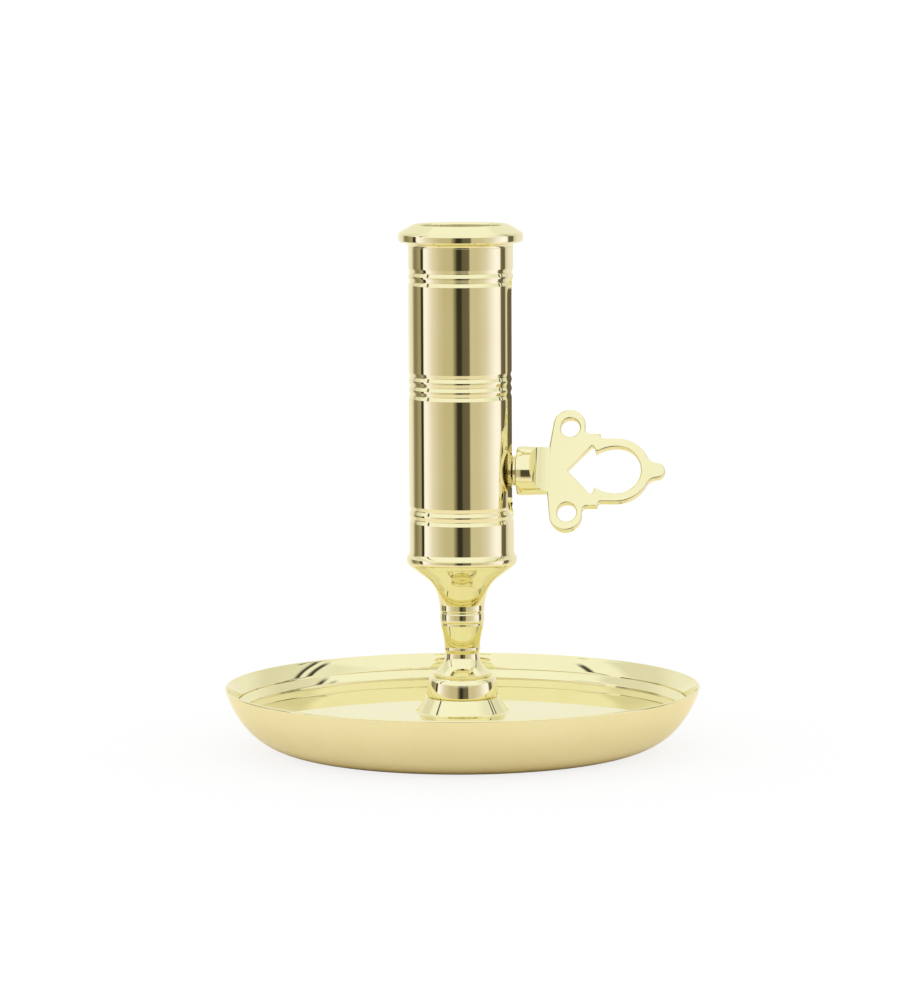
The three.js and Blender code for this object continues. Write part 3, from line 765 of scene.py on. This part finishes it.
def flat_plate(name, outlines, thick, edge):
    """A plate in XZ with rounded edges, cut along the given outlines."""
    curve = bpy.data.curves.new(name, "CURVE")
    curve.dimensions = "2D"
    curve.fill_mode = "BOTH"
    for points in outlines:
        spline = curve.splines.new("POLY")
        spline.points.add(len(points) - 1)
        for p, (x, y) in zip(spline.points, points):
            p.co = (x * MM, y * MM, 0, 1)
        spline.use_cyclic_u = True
    curve.extrude = (thick / 2 - edge) * MM
    curve.bevel_depth = edge * MM
    curve.bevel_resolution = EDGE_STEPS
    curve.offset = -edge * MM
    holder = add_object(name, curve)
    bpy.context.view_layer.update()
    shown = holder.evaluated_get(bpy.context.evaluated_depsgraph_get())
    mesh = bpy.data.meshes.new_from_object(shown)
    bpy.data.objects.remove(holder)
    work = bmesh.new()
    work.from_mesh(mesh)
    bmesh.ops.remove_doubles(work, verts=work.verts, dist=WELD)
    work.to_mesh(mesh)
    work.free()
    facing_out(mesh)
    mesh.transform(Matrix.Rotation(math.pi / 2, 4, "X"))
    return add_object(name, mesh)


BARREL = outline(
    at(0, BOSS_X, SMOOTH),
    at(BOSS_R - BOSS_FACE, BOSS_X, soft=0.2),
    at(BOSS_R, BOSS_X + CROWN_X, SMOOTH, ((BOSS_R, BOSS_X + CROWN_X / 2),)),
    at(BOSS_R - BOSS_END, COVE_END, SMOOTH),
    at(0, COVE_END, SMOOTH),
    closed=False,
)


def boss():
    """A turned barrel, hollowed from the front and the back."""
    cove_turn = math.degrees(math.acos((COVE_END - COVE_X) / COVE_R))
    cove = arc(COVE_X, -COVE_OUT, COVE_R, 180, cove_turn, COVE_STEPS)
    plan = both_sides([(BOSS_X - OVERCUT, -COVE_OUT), *cove])
    tall = BOSS_R + OVERCUT
    rings = [[(x, y, z) for x, y in plan] for z in (-tall, tall)]
    marks = [0, *[COVE_FRONT] * COVE_STEPS, 0, *[COVE_BACK] * COVE_STEPS, 0, 0, 0, 0]
    barrel = lathe("barrel", BARREL, BOSS_SIDES)
    barrel.data.transform(ALONG_X)
    return cut(barrel, skin("plan", rings, marks), "INTERSECT")


def handle_normal(mark, x, y, z):
    """The normal at a point of the hollows, the plate's flat faces or the barrel."""
    if mark in (COVE_FRONT, COVE_BACK):
        side = -COVE_OUT if mark == COVE_FRONT else COVE_OUT
        return Vector((COVE_X - x, side - y, 0))
    if mark == PLATE_FACE:
        return Vector((0, y, 0))
    r = max(math.hypot(y, z), TINY)
    nr, nx = turned_normal(BARREL[mark - 1], r, x)
    return Vector((nx, nr * y / r, nr * z / r))


def handle():
    """Plate and boss in one, drilled for the stud."""
    outlines = [plate_outer(), plate_loop(), lobe_hole(1), lobe_hole(-1)]
    cast = flat_plate("handle_cast", outlines, PLATE_T, EDGE)
    mark_faces(cast.data, [PLATE_FACE if abs(f.normal.y) > FLAT else 0 for f in cast.data.polygons])
    cut(cast, boss(), "UNION")
    hole = rod("hole", STUD_R + FIT_GAP, BOSS_X - 2 * OVERCUT, STUD_END + STUD_ROOM)
    hole.data.transform(ALONG_X)
    cut(cast, hole)
    cast.data.shade_smooth()
    cast.data.set_sharp_from_angle(angle=HANDLE_CREASE)
    weighted = cast.modifiers.new("normals", "WEIGHTED_NORMAL")
    weighted.keep_sharp = True
    bake(cast)
    exact_normals(cast.data, handle_normal)
    cast.data.transform(TO_STUD @ Matrix.Rotation(HANDLE_TURN, 4, "X"))
    return cast


# Materials
CLOUD_SCALE = 55.0
CLOUD_RANGE = (0.42, 0.72)  # noise levels at which the light colour ends and the dark one begins
MARK_SCALE = 420.0
MARK_RANGE = (0.6, 1.5)  # roughness between and on the polishing marks, in shares of the mean
WAVE_SCALE = 70.0
BORE_MARGIN = 0.02  # mm, so that the bore's own wall counts as inside it
BORE_ROUGH = 0.3  # added inside the bore


def feed(tree, socket, value):
    """Links an input to another node's output, or sets its value."""
    if isinstance(value, bpy.types.NodeSocket):
        tree.links.new(value, socket)
    else:
        socket.default_value = value


def node(tree, kind, *feeds, **settings):
    """A node whose first inputs take the feeds; settings are its options or inputs by name."""
    made = tree.nodes.new(kind)
    for key, value in settings.items():
        if key in made.inputs:
            feed(tree, made.inputs[key], value)
        else:
            setattr(made, key, value)
    for socket, value in zip(made.inputs, feeds):
        feed(tree, socket, value)
    return made


def mixed(tree, factor, a, b):
    """A colour between two others."""
    return node(tree, "ShaderNodeMix", data_type="RGBA", Factor=factor, A=a, B=b).outputs["Result"]


def spread(tree, value, low, high, to_low=0.0, to_high=1.0, **settings):
    """A value carried from one range to another."""
    made = node(tree, "ShaderNodeMapRange", value, low, high, to_low, to_high, **settings)
    return made.outputs["Result"]


def maths(tree, operation, *values):
    """The result of one operation on numbers."""
    return node(tree, "ShaderNodeMath", *values, operation=operation).outputs["Value"]


def distance(tree, place):
    """How far a place is from the origin."""
    return node(tree, "ShaderNodeVectorMath", place, operation="LENGTH").outputs["Value"]


def metal(name, light, dark, edge, rough, grain, wave, bore=None):
    """Metal with clouded colour, fine polishing marks and a slow wave; duller inside a bore."""
    material = bpy.data.materials.new(name)
    material.use_nodes = True
    tree = material.node_tree
    place = node(tree, "ShaderNodeTexCoord").outputs["Object"]
    cloud = node(tree, "ShaderNodeTexNoise", place, Scale=CLOUD_SCALE, Detail=5.0, Roughness=0.6)
    marks = node(tree, "ShaderNodeTexNoise", place, Scale=MARK_SCALE, Detail=4.0, Roughness=0.7)
    slow = node(tree, "ShaderNodeTexNoise", place, Scale=WAVE_SCALE, Detail=1.0)
    clouded = spread(tree, cloud.outputs["Fac"], *CLOUD_RANGE)
    smooth, dull = (rough * share for share in MARK_RANGE)
    roughness = spread(tree, marks.outputs["Fac"], 0, 1, smooth, dull)
    if bore:
        flat = node(tree, "ShaderNodeVectorMath", place, (1, 1, 0), operation="MULTIPLY")
        inside = maths(tree, "LESS_THAN", distance(tree, flat.outputs["Vector"]), bore)
        roughness = maths(tree, "MULTIPLY_ADD", inside, BORE_ROUGH, roughness)
    swell = node(tree, "ShaderNodeBump", Distance=wave, Height=slow.outputs["Fac"])
    fine = node(
        tree, "ShaderNodeBump",
        Distance=grain, Height=marks.outputs["Fac"], Normal=swell.outputs["Normal"],
    )
    shader = tree.nodes["Principled BSDF"].inputs
    feed(tree, shader["Metallic"], 1.0)
    feed(tree, shader["Specular Tint"], (*edge, 1))
    feed(tree, shader["Base Color"], mixed(tree, clouded, (*light, 1), (*dark, 1)))
    feed(tree, shader["Roughness"], roughness)
    feed(tree, shader["Normal"], fine.outputs["Normal"])
    return material


POLISH = {
    "light": (0.90, 0.845, 0.565),
    "dark": (0.875, 0.815, 0.525),
    "edge": (0.985, 0.97, 0.90),
    "rough": 0.025,
    "grain": 1e-7,
    "wave": 3e-6,
}
polished = metal("polished_brass", **POLISH)
bored = metal("bored_brass", **POLISH, bore=(BORE_R + BORE_MARGIN) * MM)
turned = metal(
    "turned_brass",
    light=(0.80, 0.70, 0.38), dark=(0.70, 0.58, 0.29), edge=(0.9, 0.8, 0.5),
    rough=0.22, grain=2e-6, wave=3e-6,
)
steel = metal(
    "bright_steel",
    light=(0.66, 0.66, 0.66), dark=(0.55, 0.56, 0.57), edge=(0.9, 0.9, 0.9),
    rough=0.25, grain=2e-6, wave=2e-6,
)

# Pieces, each with its CAD node, body, slot and material
PIECES = [
    (drip_pan(), "drip_pan", "base", "polished_brass", polished),
    (stem(), "stem", "base", "polished_brass", polished),
    (candle_tube(), "candle_tube", "base", "polished_brass", bored),
    (nozzle_rim(), "nozzle_rim", "base", "polished_brass", bored),
    (candle_pusher(), "candle_pusher", "pusher", "turned_brass", turned),
    (handle_stud(), "handle_stud", "pusher", "turned_brass", turned),
    (slot_bush(), "slot_bush", "pusher", "turned_brass", turned),
    (stud_washer(), "stud_washer", "washer", "turned_brass", polished),
    (base_washer(), "base_washer", "base", "bright_steel", steel),
    (base_screw(), "base_screw", "base", "bright_steel", steel),
    (handle(), "handle", "handle", "polished_brass", polished),
]
for piece, cad_node, body, slot, material in PIECES:
    piece.data.materials.clear()
    piece.data.materials.append(material)
    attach(piece, body)
    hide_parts(cad_node)

# Floor, in m
FLOOR_R = 0.22
FLOOR_SIDES = 96
FLOOR_GAP = 0.00002  # below the foot ring
FLOOR_GLOW = 0.82  # share of plain white that the camera sees, and the most that the metal mirrors
FLOOR_GLOW_MIRRORED = 0.24
FLOOR_PAINTED_SHADE = (0.045, 0.051)  # painted shadow under the pan: the mirrored white starts between these distances from the axis, so nearer the axis the metal sees the floor darker
FLOOR_FADE = (0.1, 0.21)  # the mirrored floor ends softly between these
PAPER_SEEN = (0.97, 0.97, 0.97, 1)
PAPER_MIRRORED = (0.98, 0.88, 0.65, 1)
PAPER_ROUGH = 0.9


def paper():
    """White paper for the camera; to the metal it is warmer, has a painted shadow under the pan where
    its glow is left out, and has no edge.
    """
    material = bpy.data.materials.new("paper")
    material.use_nodes = True
    tree = material.node_tree
    rays = node(tree, "ShaderNodeLightPath").outputs
    out = distance(tree, node(tree, "ShaderNodeTexCoord").outputs["Object"])
    sheet = tree.nodes["Principled BSDF"]
    feed(tree, sheet.inputs["Roughness"], PAPER_ROUGH)
    feed(tree, sheet.inputs["Specular IOR Level"], 0.0)
    colour = mixed(tree, rays["Is Camera Ray"], PAPER_MIRRORED, PAPER_SEEN)
    feed(tree, sheet.inputs["Base Color"], colour)
    # painted shadow: close under the pan the metal sees no glow on the floor, so it is darker there
    glow_past_painted_shade = spread(tree, out, *FLOOR_PAINTED_SHADE, to_high=FLOOR_GLOW_MIRRORED)
    mirrored = maths(tree, "MULTIPLY", rays["Is Glossy Ray"], glow_past_painted_shade)
    white = maths(tree, "MULTIPLY_ADD", rays["Is Camera Ray"], FLOOR_GLOW, mirrored)
    glow = node(tree, "ShaderNodeEmission").outputs["Emission"]
    lit = node(tree, "ShaderNodeMixShader", white, sheet.outputs["BSDF"], glow).outputs["Shader"]
    far = spread(tree, out, *FLOOR_FADE, interpolation_type="SMOOTHSTEP")
    gone = maths(tree, "MULTIPLY", far, rays["Is Glossy Ray"])
    clear = node(tree, "ShaderNodeBsdfTransparent").outputs["BSDF"]
    surface = node(tree, "ShaderNodeMixShader", gone, lit, clear).outputs["Shader"]
    feed(tree, tree.nodes["Material Output"].inputs["Surface"], surface)
    return material


floor_mesh = bpy.data.meshes.new("floor")
work = bmesh.new()
bmesh.ops.create_circle(work, cap_ends=True, segments=FLOOR_SIDES, radius=FLOOR_R)
work.to_mesh(floor_mesh)
work.free()
floor_mesh.transform(Matrix.Translation((0, 0, -FLOOR_GAP)))
floor_mesh.materials.append(paper())
floor = add_object("floor", floor_mesh)

# Room that the metal mirrors: a white tent with dim walls, by degrees round from the camera and level
CAMERA_AZ = math.radians(7.0)
BACKDROP = (1.04, 1.04, 1.04, 1)  # all that the camera sees, and what lights the floor
TENT = (1.03, 1.05, 0.98)
TENT_SHADE = (0.1, 0.0, -0.3)  # how each colour shifts as the tent dims
DIM_TINT = (1.12, 1.0, 0.65)
BRIGHT_TINT = (1.03, 1.0, 1.15)
BRIGHT_FROM = 0.5  # the level from which a wall turns to the bright tint
BEHIND = 0.93  # the level behind the object, up to where the walls begin
WALLS_START = -150
WALLS_END = (8, 13)  # degrees above the horizon over which the walls give way to the sides
SIDES_END = (46, 52)  # and the sides to the plain top
WALLS = [
    # left side, with a dark strip
    (-134, 0.8), (-126, 0.27), (-117, 0.22), (-109, 0.33), (-101, 0.38), (-97.5, 0.03), (-91.5, 0.03),
    # lit wall, dimmer towards the camera
    (-90, 1.03), (-84, 1.1), (-77, 1.0), (-66, 0.79), (-51, 0.64), (-37, 0.545), (-19, 0.535),
    # dark gap at the camera, and a dim strip beside it
    (-14, 0.27), (-8, 0.036), (1, 0.036), (3, 0.12), (18, 0.14),
    # lit wall, brighter towards the right
    (20, 0.6), (38, 0.61), (57, 0.73), (72, 0.96), (84, 1.1), (96, 1.05),
    # right side, with a dark strip
    (99, 0.16), (113, 0.11), (116, 0.66), (130, 0.88),
]
SIDES = [
    # behind, and a dimmer left side
    (-180, 0.9), (-146, 0.9), (-130, 0.78), (-108, 0.78), (-101, 0.97), (-85, 1.0),
    # dark seam on the left
    (-84, 0.05), (-80.5, 0.05),
    # front
    (-79.5, 1.0), (50, 1.0), (84, 0.86), (95.5, 0.9),
    # two dark seams on the right
    (96.8, 0.05), (99.5, 0.05), (100.8, 0.95), (104, 0.95), (105, 0.05), (107.5, 0.05),
    # a dimmer right side, and behind
    (108.8, 0.8), (130, 0.76), (148, 0.9), (180, 0.9),
]


def wall_tone(level):
    """Dim parts of the walls are warmer than the bright ones."""
    bright = max(0.0, min(1.0, (level - BRIGHT_FROM) / (1 - BRIGHT_FROM)))
    return tuple(level * (a + (b - a) * bright) for a, b in zip(DIM_TINT, BRIGHT_TINT))


def tent_tone(level):
    """The tent's dimmer parts are a little warmer."""
    return tuple(c * level * (1 + shade * (1 - level)) for c, shade in zip(TENT, TENT_SHADE))


def round_ramp(tree, turn, stops):
    """Colours by the angle round from the camera."""
    ramp = node(tree, "ShaderNodeValToRGB", turn)
    made = ramp.color_ramp.elements
    while len(made) < len(stops):
        made.new(0.5)  # its own place is set below
    for stop, (degrees, colour) in zip(made, stops):
        stop.position = (degrees + 180) / 360
        stop.color = (*colour, 1)
    return ramp.outputs["Color"]


def rising(tree, height, low, high):
    """Goes from 0 to 1 between two angles above the horizon."""
    ends = (math.sin(math.radians(low)), math.sin(math.radians(high)))
    return spread(tree, height, *ends, interpolation_type="SMOOTHSTEP")


def studio():
    """Plain white light, with the tent and its walls only in what the metal mirrors."""
    world = bpy.data.worlds.new("studio")
    bpy.context.scene.world = world
    world.use_nodes = True
    tree = world.node_tree
    way = node(tree, "ShaderNodeTexCoord").outputs["Generated"]
    aim = node(tree, "ShaderNodeVectorRotate", way, rotation_type="Z_AXIS", Angle=-CAMERA_AZ)
    axes = node(tree, "ShaderNodeSeparateXYZ", aim.outputs["Vector"]).outputs
    ahead = maths(tree, "MULTIPLY", axes["Y"], -1)
    turn = spread(tree, maths(tree, "ARCTAN2", axes["X"], ahead), -math.pi, math.pi)
    behind = tent_tone(BEHIND)
    wall_stops = [(degrees, wall_tone(level)) for degrees, level in WALLS]
    walls = round_ramp(tree, turn, [(-180, behind), (WALLS_START, behind), *wall_stops, (180, behind)])
    sides = round_ramp(tree, turn, [(degrees, tent_tone(level)) for degrees, level in SIDES])
    lower = mixed(tree, rising(tree, axes["Z"], *WALLS_END), walls, sides)
    tent = mixed(tree, rising(tree, axes["Z"], *SIDES_END), lower, (*TENT, 1))
    glossy = node(tree, "ShaderNodeLightPath").outputs["Is Glossy Ray"]
    feed(tree, tree.nodes["Background"].inputs["Color"], mixed(tree, glossy, BACKDROP, tent))


studio()

# Camera, in m
CAMERA_REACH = 1.25
CAMERA_HEIGHT = 0.1979
CAMERA_PITCH = math.radians(6.156)
CAMERA_ROLL = math.radians(0.25)
CAMERA_SIDE = -0.00005
CAMERA_NEAR = 0.05
CAMERA_FAR = 50
FOCAL_PX = 4991.4
IMAGE_H = 1000
SENSOR = 36.0  # mm

back = Vector((math.sin(CAMERA_AZ), -math.cos(CAMERA_AZ), 0))
right = Vector((math.cos(CAMERA_AZ), math.sin(CAMERA_AZ), 0))
forward = -back * math.cos(CAMERA_PITCH) - Vector((0, 0, 1)) * math.sin(CAMERA_PITCH)
up = right.cross(forward)
rolled_right = right * math.cos(CAMERA_ROLL) - up * math.sin(CAMERA_ROLL)
rolled_up = up * math.cos(CAMERA_ROLL) + right * math.sin(CAMERA_ROLL)
lens = bpy.data.cameras.new("camera")
lens.sensor_width = SENSOR
lens.lens = FOCAL_PX / IMAGE_H * SENSOR
lens.clip_start = CAMERA_NEAR
lens.clip_end = CAMERA_FAR
camera = add_object("camera", lens)
turn = Matrix((rolled_right, rolled_up, -forward)).transposed()
spot = back * CAMERA_REACH + Vector((0, 0, CAMERA_HEIGHT)) + right * CAMERA_SIDE
camera.matrix_world = Matrix.Translation(spot) @ turn.to_4x4()
bpy.context.scene.camera = camera
bpy.context.scene.view_settings.view_transform = "Standard"
